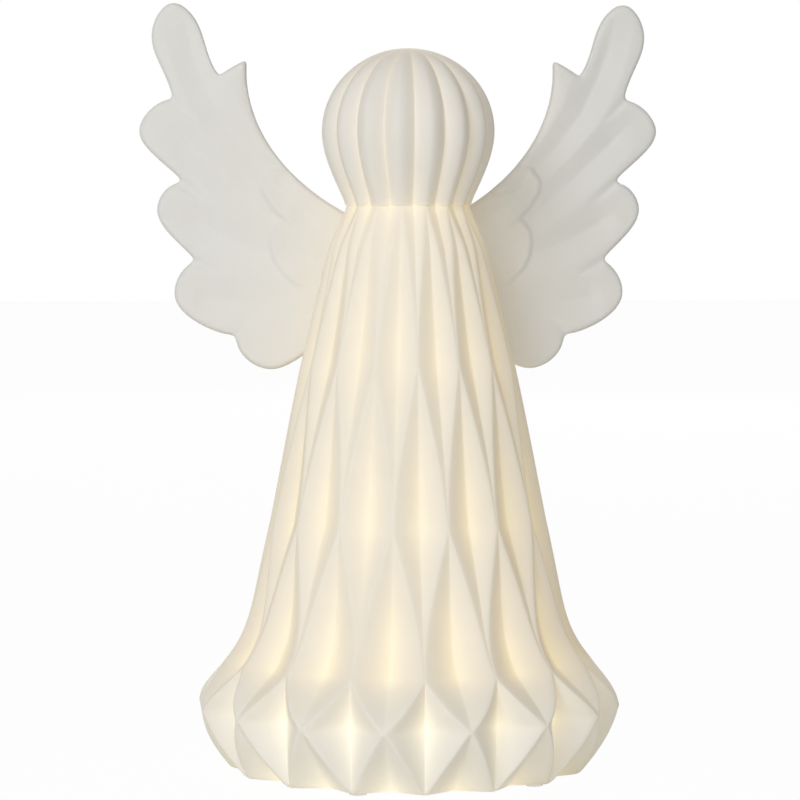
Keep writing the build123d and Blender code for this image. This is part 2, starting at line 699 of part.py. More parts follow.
def switch_block(x_low, x_high, z_low, z_high):
    """A box as wide as the switch."""
    half = SWITCH_WIDTH / 2
    return block(x_low, x_high, switch_y - half, switch_y + half, z_low, z_high)


def make_switch_body():
    low = switch_z
    body = switch_block(switch_x - SWITCH_LENGTH / 2, switch_x + SWITCH_LENGTH / 2,
                        low, low + SWITCH_HEIGHT)
    return body - switch_opening(STEM_LENGTH, STEM_WIDTH, low, low + SWITCH_HEIGHT / 2)


def make_switch_slider():
    low = switch_z
    knob_top = plate_z + KNOB_RECESS - KNOB_CLEARANCE
    knob = block(-KNOB_LENGTH / 2, KNOB_LENGTH / 2, switch_y - KNOB_WIDTH / 2,
                 switch_y + KNOB_WIDTH / 2, plate_z - KNOB_DROP, knob_top)
    stem = block(-STEM_LENGTH / 2, STEM_LENGTH / 2, switch_y - STEM_WIDTH / 2,
                 switch_y + STEM_WIDTH / 2, plate_z, low + SWITCH_HEIGHT / 2 - KNOB_CLEARANCE)
    guide = block(-KNOB_LENGTH / 2, KNOB_LENGTH / 2, switch_y - KNOB_WIDTH / 2,
                  switch_y + KNOB_WIDTH / 2, plate_top_z + SLIP_GAP,
                  plate_top_z + GUIDE_THICKNESS)
    return knob + stem + guide


def switch_lead_rods():
    return [disc(LEAD_RADIUS, switch_z + SWITCH_HEIGHT, board_top_z, x, lead_y)
            for x in (switch_x - LEAD_PITCH / 2, switch_x + LEAD_PITCH / 2)]


# ---------------------------------------------------------------- assembly
def make_parts():
    """Every piece of the angel by its name."""
    bodice = dress_upper_filled()
    wing_left = make_wing_left(bodice)
    parts = {
        "dress_lower": make_dress_lower(),
        "dress_upper": make_dress_upper(bodice),
        "head": make_head(),
        "wing_left": wing_left,
        "wing_right": mirror(wing_left, about=Plane.YZ),
        "foot_pads": make_foot_pads(),
        "housing_base": make_housing_base(),
        "housing_lid": make_housing_lid(),
        "housing_screws": make_housing_screws(),
        "grip_ring": make_grip_ring(),
        "battery_door": make_battery_door(),
        "door_hinge_pin": make_door_hinge_pin(),
        "door_screw": make_door_screw(),
        "contact_springs": make_contact_springs(),
        "positive_terminal": make_terminal(0, 1),
        "negative_terminal": make_terminal(CELL_COUNT - 1, -1),
        "bridge_contact_left": make_bridge(0, -1),
        "bridge_contact_right": make_bridge(1, 1),
        "circuit_board": make_circuit_board(),
        "led_emitters": make_led_emitters(),
        "control_chip": make_control_chip(),
        "light_diffuser": make_light_diffuser(),
        "switch_body": make_switch_body(),
        "switch_slider": make_switch_slider(),
        "switch_leads": Compound(switch_lead_rods()),
    }
    for number in range(CELL_COUNT):
        parts[f"battery_cell_{number + 1}"] = make_battery_cell(number)
    return parts


if __name__ == "__main__":
    os.makedirs("parts", exist_ok=True)
    for node, solid in make_parts().items():
        export_step(solid, f"parts/{node}.step")
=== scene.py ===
import json
from math import atan2, cos, exp, hypot, pi, radians, sin, sqrt

import bmesh
import bpy
from bpy.props import FloatProperty, FloatVectorProperty, PointerProperty
from mathutils import Matrix, Vector


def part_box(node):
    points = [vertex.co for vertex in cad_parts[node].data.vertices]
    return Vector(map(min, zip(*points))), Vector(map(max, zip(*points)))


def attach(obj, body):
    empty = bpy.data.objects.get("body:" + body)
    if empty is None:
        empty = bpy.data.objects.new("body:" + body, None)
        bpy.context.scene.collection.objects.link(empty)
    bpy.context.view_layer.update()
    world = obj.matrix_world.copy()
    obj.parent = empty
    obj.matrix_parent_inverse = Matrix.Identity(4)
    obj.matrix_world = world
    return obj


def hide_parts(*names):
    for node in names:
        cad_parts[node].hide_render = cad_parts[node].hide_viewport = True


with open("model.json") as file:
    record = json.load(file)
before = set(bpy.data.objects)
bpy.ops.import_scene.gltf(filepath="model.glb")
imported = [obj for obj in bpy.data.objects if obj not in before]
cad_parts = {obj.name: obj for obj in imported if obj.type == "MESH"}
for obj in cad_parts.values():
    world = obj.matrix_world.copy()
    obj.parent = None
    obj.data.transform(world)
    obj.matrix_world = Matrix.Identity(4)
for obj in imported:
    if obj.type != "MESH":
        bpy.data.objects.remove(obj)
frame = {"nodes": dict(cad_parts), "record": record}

bl_info = {
    "name": "Lit porcelain angel",
    "version": (1, 0, 0),
    "blender": (4, 5, 0),
    "location": "View3D > Sidebar > Angel",
    "description": "Pleated porcelain angel with feathered wings, lit by a light unit in its foot",
    "category": "Add Mesh",
}

# ------------------------------------------------------------------ levels, mm
# The porcelain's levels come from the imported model. Its rows of pleats lie between them.
MM = 0.001


def level(node, end):
    """Height of a CAD node's bottom (0) or top (1), in millimetres."""
    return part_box(node)[end][2] / MM


FOOT_Z = level("dress_lower", 0)
WAIST_Z = level("dress_upper", 0)
NECK_Z = level("head", 0)
CROWN_Z = level("head", 1)
LIGHT_Z = level("led_emitters", 1)
HEM_Z = FOOT_Z + 24.4           # widest corners of the hem
CHEST_Z = WAIST_Z + 55.9        # the dress's cone narrows faster above this
SHOULDER_Z = CHEST_Z + 45.9     # and faster still from here to the neck
HEAD_Z = NECK_Z + 27.5          # widest part of the head
# Tips where pairs of winding ridges meet and part again, between hem and neck.
ROW_1_Z = HEM_Z + 16.9
ROW_2_Z = WAIST_Z - 1.4
ROW_3_Z = CHEST_Z + 1.7
# The foot's underside: a recess for the light unit's rim, and a floor with a hole.
RECESS_Z = FOOT_Z + 2.5
FLOOR_TOP_Z = RECESS_Z + 4.0

# ------------------------------------------------------------------ radii and pleats, mm
HEM_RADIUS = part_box("dress_lower")[1][0] / MM
HEAD_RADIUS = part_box("head")[1][0] / MM
FOOT_RADIUS = 67.5
FOOT_VALLEY_RADIUS = 59.5
WAIST_RADIUS = 52.6
CHEST_RADIUS = 41.3
SHOULDER_RADIUS = 30.2
NECK_RADIUS = 23.2
RECESS_RADIUS = 56.0
HOLE_RADIUS = 49.0
NECK_SLOPE = 0.47               # how fast the head widens from the neck
FLARE_HEIGHT = 18.5             # the hem's flare fades over this height
HEM_BULGE = 2.3                 # ridges swell this much between foot and hem
FOOT_ROUNDING = 1.4
THIN_WALL = 2.6                 # from the deepest valleys to the smooth hollow

FLUTES = 16
HALF_STEP = pi / FLUTES
VALLEY_DEPTH = 0.52             # depth of a valley over half its width
VALLEY_SHARE = VALLEY_DEPTH * sin(HALF_STEP)
LEAST_TURN = 0.04               # ridges stay this share of a half pleat apart at a tip
ROW_1_BOW = 0.25                # how much the ridges bow between the hem and the first row
NECK_DRAW = 0.85                # below 1, the ridges above the third row part later
LOBE_POWER = 1.7                # of the head's flutes: 1 is a flat facet, 2 a round lobe
LOBE_FILL = 0.8                 # how much the head's valleys are filled
NECK_FILL = 0.46                # how much the crease at the neck is filled
NECK_SOFTNESS = 1.3
# Level creases are rounded by averaging over a reach up and down, wider at some levels.
CREASE_REACH = 0.45
WIDER_CREASES = ((HEM_Z, 0.6, 5.0), (SHOULDER_Z, 2.5, 8.0))     # level, more reach, spread
TAPS = (-1.0, -0.5, 0.0, 0.5, 1.0)


# ------------------------------------------------------------------ controls
class AngelSizes(bpy.types.PropertyGroup):
    """Sizes of the hand-finished details."""

    ridge_softness: FloatProperty(
        name="Ridge softness", description="How softly the pleat ridges are rounded",
        default=1.3 * MM, min=0.2 * MM, max=3 * MM, unit="LENGTH", precision=5)
    valley_softness: FloatProperty(
        name="Valley softness", description="How softly the valleys between pleats are filled",
        default=0.45 * MM, min=0.2 * MM, max=3 * MM, unit="LENGTH", precision=5)
    feather_depth: FloatProperty(
        name="Feather depth", description="Depth of the groove along each feather",
        default=2.0 * MM, min=0.0, max=2.5 * MM, unit="LENGTH", precision=5)
    clay_cell: FloatProperty(
        name="Clay cell", description="Size of the faces that the wings are modelled from",
        default=0.75 * MM, min=0.5 * MM, max=2 * MM, unit="LENGTH", precision=5)


class AngelColours(bpy.types.PropertyGroup):
    """Colours and light levels."""

    bisque: FloatVectorProperty(
        name="Bisque", description="Colour of the unglazed porcelain",
        default=(0.82, 0.822, 0.812), min=0, max=1, subtype="COLOR")
    glow: FloatVectorProperty(
        name="Glow", description="Colour of the light that comes through thin porcelain",
        default=(0.48, 0.36, 0.10), min=0, max=1, subtype="COLOR")
    housing: FloatVectorProperty(
        name="Housing", description="Colour of the light unit's plastic",
        default=(0.74, 0.73, 0.70), min=0, max=1, subtype="COLOR")
    floor: FloatVectorProperty(
        name="Floor", description="Colour of the floor",
        default=(0.90, 0.90, 0.89), min=0, max=1, subtype="COLOR")
    key_power: FloatProperty(
        name="Key light", description="Power of the soft light from the front left",
        default=15.5, min=0, subtype="POWER")
    fill_power: FloatProperty(
        name="Fill light", description="Power of the soft light beside the camera",
        default=12.4, min=0, subtype="POWER")
    back_power: FloatProperty(
        name="Back light", description="Power of the soft light behind",
        default=15.0, min=0, subtype="POWER")
    room_level: FloatProperty(
        name="Room light", description="Brightness of the even light from all sides",
        default=0.29, min=0)


# ------------------------------------------------------------------ porcelain form
def between(z, low, low_radius, high, high_radius):
    """Radius on a straight line between two levels."""
    return low_radius + (high_radius - low_radius) * (z - low) / (high - low)


def cone_radius(z):
    """Radius of the dress's cone without the flare of its hem."""
    if z < CHEST_Z:
        return between(z, WAIST_Z, WAIST_RADIUS, CHEST_Z, CHEST_RADIUS)
    if z < SHOULDER_Z:
        return between(z, CHEST_Z, CHEST_RADIUS, SHOULDER_Z, SHOULDER_RADIUS)
    return between(z, SHOULDER_Z, SHOULDER_RADIUS, NECK_Z, NECK_RADIUS)


def bell(distance, spread):
    """1 at no distance, falling off evenly to both sides."""
    return exp(-((distance / spread) ** 2))


def dress_radius(z):
    """Radius of the winding ridges from the hem up."""
    flare = HEM_RADIUS - cone_radius(HEM_Z)
    return cone_radius(z) + flare * bell(z - HEM_Z, FLARE_HEIGHT)


def cubic(first, second, third, fourth, share):
    """A cubic curve through its first and last values."""
    rest = 1 - share
    return (first * rest ** 3 + 3 * second * rest ** 2 * share
            + 3 * third * rest * share ** 2 + fourth * share ** 3)


def head_radius(z):
    """Radius of the head's ridges."""
    if z >= HEAD_Z:
        rise = min(1.0, (z - HEAD_Z) / (CROWN_Z - HEAD_Z))
        return HEAD_RADIUS * sqrt(1 - rise * rise)
    share = (z - NECK_Z) / (HEAD_Z - NECK_Z)
    slope = NECK_SLOPE * (HEAD_Z - NECK_Z) / 3
    return cubic(NECK_RADIUS, NECK_RADIUS + slope, HEAD_RADIUS, HEAD_RADIUS, share)


def winding(z):
    """Where the ridge is, from 0 on its first valley line to 1 on the second."""
    if z <= HEM_Z:
        return (HEM_Z - z) / (HEM_Z - FOOT_Z)
    if z <= ROW_1_Z:
        share = (z - HEM_Z) / (ROW_1_Z - HEM_Z)
        return share * (1 + ROW_1_BOW - ROW_1_BOW * share)
    if z <= ROW_2_Z:
        return sin(pi / 2 * (ROW_2_Z - z) / (ROW_2_Z - ROW_1_Z))
    if z <= ROW_3_Z:
        return 1 - sin(pi / 2 * (ROW_3_Z - z) / (ROW_3_Z - ROW_2_Z))
    return sin(pi / 2 * (max(0.0, NECK_Z - z) / (NECK_Z - ROW_3_Z)) ** NECK_DRAW)


def fold_line(z):
    """Radius of the straight folds between the corners of the hem."""
    return between(z, FOOT_Z, FOOT_RADIUS, ROW_1_Z, dress_radius(ROW_1_Z))


def section(z):
    """Ridge angle as a share of the half pleat, then the radii of ridge and both valleys."""
    turn = LEAST_TURN + (1 - 2 * LEAST_TURN) * winding(z)
    if z <= HEM_Z:
        share = (z - FOOT_Z) / (HEM_Z - FOOT_Z)
        ridge = between(z, FOOT_Z, FOOT_RADIUS, HEM_Z, HEM_RADIUS) + 4 * HEM_BULGE * share * (1 - share)
        first = between(z, FOOT_Z, FOOT_VALLEY_RADIUS, HEM_Z, HEM_RADIUS)
    else:
        ridge = dress_radius(z)
        first = ridge * (1 - VALLEY_SHARE * turn)
    second = fold_line(z) if z <= ROW_1_Z else ridge * (1 - VALLEY_SHARE * (1 - turn))
    return turn, ridge, first, second


def chord(first, first_angle, last, last_angle, angle):
    """Radius at an angle on the straight line between two polar points."""
    return first * last * sin(last_angle - first_angle) / (
        first * sin(angle - first_angle) + last * sin(last_angle - angle))


def softened(distance, softness):
    """What rounding adds beside a crease, falling off with distance."""
    return sqrt(distance ** 2 + softness ** 2) - distance


def creased_radius(angle, z, ridge_soft, valley_soft):
    """Outer radius of the dress with its ridges and valleys rounded, level by level."""
    share, ridge, first, second = section(z)
    turn = share * HALF_STEP
    if angle <= turn:
        flat = chord(first, 0, ridge, turn, angle)
    else:
        flat = chord(ridge, turn, second, HALF_STEP, angle)
    first_width = ridge * turn
    second_width = ridge * (HALF_STEP - turn)
    first_slope = (ridge - first) / first_width
    second_slope = (ridge - second) / second_width
    first_share = first_width / (first_width + 2 * ridge_soft)
    second_share = second_width / (second_width + 2 * ridge_soft)
    slope = ((first_slope * first_share + second_slope * (1 - first_share))
             + (second_slope * second_share + first_slope * (1 - second_share))) / 2
    cut = slope * softened(ridge * abs(angle - turn), ridge_soft)
    fill = (first_slope * first_share * softened(ridge * angle, valley_soft)
            + second_slope * second_share * softened(ridge * (HALF_STEP - angle), valley_soft))
    return flat - cut + fill


def neck_fill(z):
    """What rounding adds beside the crease at the neck."""
    return NECK_FILL * softened(abs(z - NECK_Z), NECK_SOFTNESS)


def dress_outside(angle, z, ridge_soft, valley_soft):
    """Outer radius of the dress at an angle within the half pleat, all creases rounded."""
    reach = sum((more * bell(z - place, spread) for place, more, spread in WIDER_CREASES), CREASE_REACH)
    reach = max(0.0, min(reach, z - FOOT_Z, NECK_Z - z))
    radius = sum(creased_radius(angle, z + tap * reach, ridge_soft, valley_soft)
                 for tap in TAPS) / len(TAPS)
    if z < FOOT_Z + FOOT_ROUNDING:
        drop = (FOOT_Z + FOOT_ROUNDING - z) / FOOT_ROUNDING
        radius -= FOOT_ROUNDING * (1 - sqrt(1 - min(1.0, drop) ** 2))
    return radius + neck_fill(z)


def head_outside(angle, z, valley_soft):
    """Outer radius of the head: round lobes that meet in crisp valleys."""
    ridge = head_radius(z)
    lobe = ridge * (1 - VALLEY_SHARE * (angle / HALF_STEP) ** LOBE_POWER)
    return lobe + LOBE_FILL * softened(ridge * (HALF_STEP - angle), valley_soft) + neck_fill(z)


def valley_radius(z):
    """Radius of the deepest valleys."""
    if z > ROW_1_Z:
        return (head_radius(z) if z > NECK_Z else dress_radius(z)) * (1 - VALLEY_SHARE)
    if z > HEM_Z:
        row_1_valley = dress_radius(ROW_1_Z) * (1 - VALLEY_SHARE)
        return between(z, HEM_Z, fold_line(HEM_Z), ROW_1_Z, row_1_valley)
    return between(z, FOOT_Z, FOOT_VALLEY_RADIUS, HEM_Z, fold_line(HEM_Z))


def hollow_radius(z):
    """Radius of the smooth hollow inside the porcelain."""
    return valley_radius(z) - THIN_WALL


# ------------------------------------------------------------------ mesh helpers
SAME_PLACE = 0.01 * MM          # corners closer than this are merged
NO_AREA = 1e-12                 # faces smaller than this, in square metres, are dropped


def spaced(low, high, step):
    """Even heights from one level to another, both included."""
    count = max(1, round(abs(high - low) / step))
    return [low + (high - low) * i / count for i in range(count)] + [high]


def eased(share):
    """Crowds evenly spaced columns towards both edges of a facet."""
    return (1 - cos(pi * share)) / 2


def turn_about_axis(bm, verts, angle):
    """Turns part of a mesh about the figure's upright axis."""
    bmesh.ops.rotate(bm, verts=verts, cent=(0, 0, 0), matrix=Matrix.Rotation(angle, 3, "Z"))


def pleated_mesh(rows, columns, place):
    """A closed pleated form from one half pleat, mirrored and turned round the axis.

    place(column, row) gives radius, angle and height in millimetres and how much
    light comes through there. A column of diamonds faces the front.
    """
    bm = bmesh.new()
    bmesh.ops.create_grid(bm, x_segments=columns, y_segments=len(rows) - 1, size=1)
    glow = bm.verts.layers.float.new("glow")
    for vert in bm.verts:
        row = rows[round((vert.co.y + 1) / 2 * (len(rows) - 1))]
        radius, angle, z, light = place(round((vert.co.x + 1) / 2 * columns), row)
        vert.co = Vector((radius * sin(angle), -radius * cos(angle), z)) * MM
        vert[glow] = light
    bmesh.ops.mirror(bm, geom=bm.verts[:] + bm.edges[:] + bm.faces[:], axis="X",
                     merge_dist=SAME_PLACE)
    turns = 2
    while turns <= FLUTES:
        copied = bmesh.ops.duplicate(bm, geom=bm.verts[:] + bm.edges[:] + bm.faces[:])
        verts = [item for item in copied["geom"] if isinstance(item, bmesh.types.BMVert)]
        turn_about_axis(bm, verts, 2 * pi / turns)
        turns *= 2
    turn_about_axis(bm, bm.verts[:], HALF_STEP)
    bmesh.ops.remove_doubles(bm, verts=bm.verts[:], dist=SAME_PLACE)
    flat = [face for face in bm.faces if face.calc_area() < NO_AREA]
    bmesh.ops.delete(bm, geom=flat, context="FACES_ONLY")
    bmesh.ops.recalc_face_normals(bm, faces=bm.faces[:])
    return bm


def as_mesh(bm, name):
    """Makes a mesh of a bmesh and frees the bmesh."""
    mesh = bpy.data.meshes.new(name)
    bm.to_mesh(mesh)
    bm.free()
    return mesh


def placed(name, data):
    """A new object in the scene."""
    thing = bpy.data.objects.new(name, data)
    bpy.context.scene.collection.objects.link(thing)
    return thing


def finished(bm, name, body, material, sharp=40.0):
    """Makes an object of a bmesh, smooth but for edges of so many degrees, riding on a body."""
    for face in bm.faces:
        face.smooth = True
    for edge in bm.edges:
        if len(edge.link_faces) == 2 and edge.calc_face_angle(0) > radians(sharp):
            edge.smooth = False
    piece = placed(name, as_mesh(bm, name))
    piece.data.materials.append(material)
    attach(piece, body)
    return piece


# ------------------------------------------------------------------ node groups
def new_group(name, inputs, outputs):
    """An empty shader node group with named sockets, as (kind, name, default)."""
    group = bpy.data.node_groups.new(name, "ShaderNodeTree")
    for kind, label, default in inputs:
        item = group.interface.new_socket(label, in_out="INPUT", socket_type=kind)
        if default is not None:
            item.default_value = default
    for kind, label in outputs:
        group.interface.new_socket(label, in_out="OUTPUT", socket_type=kind)
    return group, group.nodes.new("NodeGroupInput"), group.nodes.new("NodeGroupOutput")


def noise(tree, vector, scale, detail=3.0, roughness=0.55):
    """A noise pattern; scale is a number or a socket."""
    node = tree.nodes.new("ShaderNodeTexNoise")
    node.inputs["Detail"].default_value = detail
    node.inputs["Roughness"].default_value = roughness
    tree.links.new(vector, node.inputs["Vector"])
    join(tree, scale, node.inputs["Scale"])
    return node.outputs["Fac"]


def join(tree, value, socket):
    """Links a socket, or writes a plain value."""
    if isinstance(value, bpy.types.NodeSocket):
        tree.links.new(value, socket)
    else:
        socket.default_value = value


def maths(tree, operation, first, second=0.0, clamp=False):
    """A math node of two values."""
    node = tree.nodes.new("ShaderNodeMath")
    node.operation = operation
    node.use_clamp = clamp
    join(tree, first, node.inputs[0])
    join(tree, second, node.inputs[1])
    return node.outputs[0]


def ranged(tree, value, low, high, to_low, to_high):
    """Maps a value from one range to another, held at the ends."""
    node = tree.nodes.new("ShaderNodeMapRange")
    for socket, item in zip(("Value", "From Min", "From Max", "To Min", "To Max"),
                            (value, low, high, to_low, to_high)):
        join(tree, item, node.inputs[socket])
    return node.outputs[0]


def mixed(tree, factor, first, second):
    """A colour mix."""
    node = tree.nodes.new("ShaderNodeMix")
    node.data_type = "RGBA"
    join(tree, factor, node.inputs[0])
    join(tree, first, node.inputs[6])
    join(tree, second, node.inputs[7])
    return node.outputs[2]


def axes(tree, vector):
    """The X, Y and Z of a vector."""
    node = tree.nodes.new("ShaderNodeSeparateXYZ")
    tree.links.new(vector, node.inputs[0])
    return node.outputs


def build_grain_group():
    """Fine surface grain with slow patches: a tint mask, a roughness and a height."""
    group, ins, outs = new_group(
        "surface_grain",
        [("NodeSocketVector", "Vector", None), ("NodeSocketFloat", "Grain Scale", 1500.0),
         ("NodeSocketFloat", "Patch Scale", 35.0), ("NodeSocketFloat", "Roughness", 0.6),
         ("NodeSocketFloat", "Roughness Spread", 0.08)],
        [("NodeSocketFloat", "Patches"), ("NodeSocketFloat", "Roughness"),
         ("NodeSocketFloat", "Height")])
    patches = noise(group, ins.outputs["Vector"], ins.outputs["Patch Scale"], 4.0)
    fine = noise(group, ins.outputs["Vector"], ins.outputs["Grain Scale"], 2.0, 0.6)
    half_scale = maths(group, "MULTIPLY", ins.outputs["Grain Scale"], 0.22)
    coarse = noise(group, ins.outputs["Vector"], half_scale, 2.0)
    group.links.new(ranged(group, patches, 0.3, 0.7, 0.0, 1.0), outs.inputs["Patches"])
    both = maths(group, "ADD", maths(group, "MULTIPLY", patches, 0.6),
                 maths(group, "MULTIPLY", fine, 0.4))
    swing = maths(group, "MULTIPLY", maths(group, "SUBTRACT", both, 0.5),
                  maths(group, "MULTIPLY", ins.outputs["Roughness Spread"], 4.0))
    group.links.new(maths(group, "ADD", ins.outputs["Roughness"], swing, clamp=True),
                    outs.inputs["Roughness"])
    group.links.new(maths(group, "ADD", maths(group, "MULTIPLY", fine, 0.55),
                          maths(group, "MULTIPLY", coarse, 0.45)), outs.inputs["Height"])


def build_glow_group():
    """Light that comes through a wall: deeper in colour where less comes through."""
    group, ins, outs = new_group(
        "light_through",
        [("NodeSocketVector", "Vector", None), ("NodeSocketFloat", "Amount", 0.0),
         ("NodeSocketColor", "Thin", (1, 0.6, 0.2, 1)), ("NodeSocketColor", "Thick", (1, 0.4, 0.1, 1))],
        [("NodeSocketColor", "Colour")])
    cloud = ranged(group, noise(group, ins.outputs["Vector"], 90.0, 3.0), 0.3, 0.7, 0.93, 1.07)
    amount = maths(group, "MULTIPLY", ins.outputs["Amount"], cloud, clamp=True)
    hue = mixed(group, amount, ins.outputs["Thick"], ins.outputs["Thin"])
    group.links.new(mixed(group, amount, (0, 0, 0, 1), hue), outs.inputs["Colour"])


# ------------------------------------------------------------------ materials
# Places on the finishes, in millimetres.
WHITE_GLOW = (20.0, 45.0)       # the glow is whitest below the first height, warm above the second
EMITTERS = 6                    # evenly round a ring
EMITTER_RING = 17.0             # radius of that ring
EMITTER_FADE = 18.0             # their light is weakest this far from the ring
SLEEVE_BAND = 13.0              # a cell's pale band starts this far from its middle
SLEEVE_END = 23.8               # and its bare metal this far
SLEEVE_BLUR = 0.2


def new_material(name):
    """A material with its node tree, shader, output and object coordinates."""
    material = bpy.data.materials.new(name)
    material.use_nodes = True
    tree = material.node_tree
    tree.nodes.clear()
    shader = tree.nodes.new("ShaderNodeBsdfPrincipled")
    output = tree.nodes.new("ShaderNodeOutputMaterial")
    tree.links.new(shader.outputs[0], output.inputs["Surface"])
    return material, tree, shader, tree.nodes.new("ShaderNodeTexCoord").outputs["Object"]


def grain(scale, patches, roughness, spread):
    """Settings for the grain group."""
    return {"Grain Scale": scale, "Patch Scale": patches, "Roughness": roughness,
            "Roughness Spread": spread}


def grained(tree, shader, place, colour, tint, settings, bump, depth):
    """Places the grain group on a shader: colour in two tones, roughness and bump."""
    group = tree.nodes.new("ShaderNodeGroup")
    group.node_tree = bpy.data.node_groups["surface_grain"]
    tree.links.new(place, group.inputs["Vector"])
    for name, value in settings.items():
        group.inputs[name].default_value = value
    base = mixed(tree, group.outputs["Patches"], (*colour, 1), (*tint, 1))
    tree.links.new(base, shader.inputs["Base Color"])
    tree.links.new(group.outputs["Roughness"], shader.inputs["Roughness"])
    bumped = tree.nodes.new("ShaderNodeBump")
    bumped.inputs["Strength"].default_value = bump
    bumped.inputs["Distance"].default_value = depth
    tree.links.new(group.outputs["Height"], bumped.inputs["Height"])
    tree.links.new(bumped.outputs["Normal"], shader.inputs["Normal"])
    return base


def lit(tree, shader, colour, strength):
    """Lets a shader give off light of a colour."""
    tree.links.new(colour, shader.inputs["Emission Color"])
    shader.inputs["Emission Strength"].default_value = strength


def tinted(colour, red, green, blue):
    """A colour with each channel made lighter or darker."""
    return colour[0] * red, colour[1] * green, colour[2] * blue


def make_bisque(colours):
    """Matt unglazed porcelain that light comes through where it is thin."""
    material, tree, shader, place = new_material("bisque_porcelain")
    bisque, warm = tuple(colours.bisque), tuple(colours.glow)
    grained(tree, shader, place, bisque, tinted(bisque, 0.985, 0.98, 0.965),
            grain(1400.0, 28.0, 0.68, 0.06), 0.12, 0.00012)
    shader.inputs["IOR"].default_value = 1.4
    amount = tree.nodes.new("ShaderNodeAttribute")
    amount.attribute_name = "glow"
    glow = tree.nodes.new("ShaderNodeGroup")
    glow.node_tree = bpy.data.node_groups["light_through"]
    tree.links.new(place, glow.inputs["Vector"])
    tree.links.new(amount.outputs["Fac"], glow.inputs["Amount"])
    low = ranged(tree, axes(tree, place)[2], WHITE_GLOW[1] * MM, WHITE_GLOW[0] * MM, 0.0, 1.0)
    thin = mixed(tree, low, (*warm, 1), (*tinted(warm, 1, 1.08, 2.2), 1))
    thick = mixed(tree, low, (*tinted(warm, 1, 0.74, 0), 1), (*tinted(warm, 1, 1.06, 2), 1))
    tree.links.new(thin, glow.inputs["Thin"])
    tree.links.new(thick, glow.inputs["Thick"])
    lit(tree, shader, glow.outputs["Colour"], 1.0)


def make_plain(name, colour, tint, settings, bump, depth, metallic=0.0, coat=0.0):
    """A grained finish for one of the small parts."""
    material, tree, shader, place = new_material(name)
    grained(tree, shader, place, colour, tint, settings, bump, depth)
    shader.inputs["Metallic"].default_value = metallic
    shader.inputs["Coat Weight"].default_value = coat
    return material, tree, shader, place


def make_unit_materials(colours):
    """Every finish of the light unit, by its slot."""
    white = tuple(colours.housing)
    metal = grain(900.0, 260.0, 0.32, 0.1)
    matt = grain(3000.0, 300.0, 0.5, 0.08)
    plain = {
        "white_plastic": ("housing_plastic", white, tinted(white, 0.965, 0.965, 0.965),
                          grain(2600.0, 40.0, 0.46, 0.05), 0.22, 0.00008),
        "zinc_steel": ("zinc_plated_steel", (0.62, 0.63, 0.66), (0.52, 0.54, 0.58),
                       metal, 0.2, 0.00004, 1.0),
        "nickel_contact": ("nickel_strip", (0.70, 0.66, 0.58), (0.62, 0.58, 0.50),
                           metal, 0.12, 0.00003, 1.0),
        "copper_wire": ("tinned_copper", (0.75, 0.52, 0.36), (0.66, 0.44, 0.30),
                        metal, 0.12, 0.00003, 1.0),
        "black_plastic": ("chip_resin", (0.022, 0.023, 0.026), (0.035, 0.036, 0.04),
                          matt, 0.3, 0.00005),
        "grey_plastic": ("switch_plastic", (0.20, 0.20, 0.21), (0.25, 0.25, 0.26),
                         matt, 0.2, 0.00005),
    }
    made = {slot: make_plain(*finish)[0] for slot, finish in plain.items()}
    made["clear_silicone"] = make_clear_silicone()
    made["frosted_plastic"] = make_frosted_dome()
    made["led_yellow"] = make_phosphor()
    made["board_white"] = make_board_white()
    made["cell_sleeve"] = make_cell_sleeve()
    return made


def make_clear_silicone():
    """Soft clear pads."""
    material, _, shader, _ = make_plain(
        "clear_silicone", (0.88, 0.90, 0.90), (0.82, 0.84, 0.85), grain(3000.0, 120.0, 0.35, 0.06),
        0.1, 0.00005)
    shader.inputs["Alpha"].default_value = 0.5
    return material


def make_frosted_dome():
    """Frosted plastic with the emitters' light behind it."""
    material, tree, shader, place = make_plain(
        "frosted_dome", (0.86, 0.84, 0.78), (0.82, 0.80, 0.73), grain(3200.0, 50.0, 0.55, 0.05),
        0.15, 0.00005)
    lit(tree, shader, ring_light(tree, place), 0.6)
    return material


def ring_light(tree, place):
    """Soft bright spots over the ring of emitters, warm at their edges."""
    x, y, _ = axes(tree, place)
    squares = maths(tree, "ADD", maths(tree, "MULTIPLY", x, x), maths(tree, "MULTIPLY", y, y))
    reach = maths(tree, "SQRT", squares)
    around = maths(tree, "ARCTAN2", x, maths(tree, "MULTIPLY", y, -1.0))
    waves = maths(tree, "COSINE", maths(tree, "MULTIPLY", around, EMITTERS))
    lobes = ranged(tree, waves, -1.0, 1.0, 0.72, 1.0)
    away = maths(tree, "ABSOLUTE", maths(tree, "SUBTRACT", reach, EMITTER_RING * MM))
    ring = ranged(tree, away, 0.0, EMITTER_FADE * MM, 1.0, 0.25)
    return mixed(tree, maths(tree, "MULTIPLY", lobes, ring, clamp=True),
                 (0.55, 0.33, 0.12, 1), (1.0, 0.84, 0.60, 1))


def make_phosphor():
    """Glowing phosphor of the emitters."""
    material, tree, shader, place = make_plain(
        "led_phosphor", (0.85, 0.68, 0.20), (0.80, 0.60, 0.16), grain(2500.0, 700.0, 0.5, 0.05),
        0.2, 0.00004)
    warm = ranged(tree, noise(tree, place, 900.0), 0.3, 0.7, 0.8, 1.0)
    lit(tree, shader, mixed(tree, warm, (0.8, 0.5, 0.15, 1), (1.0, 0.78, 0.42, 1)), 2.0)
    return material


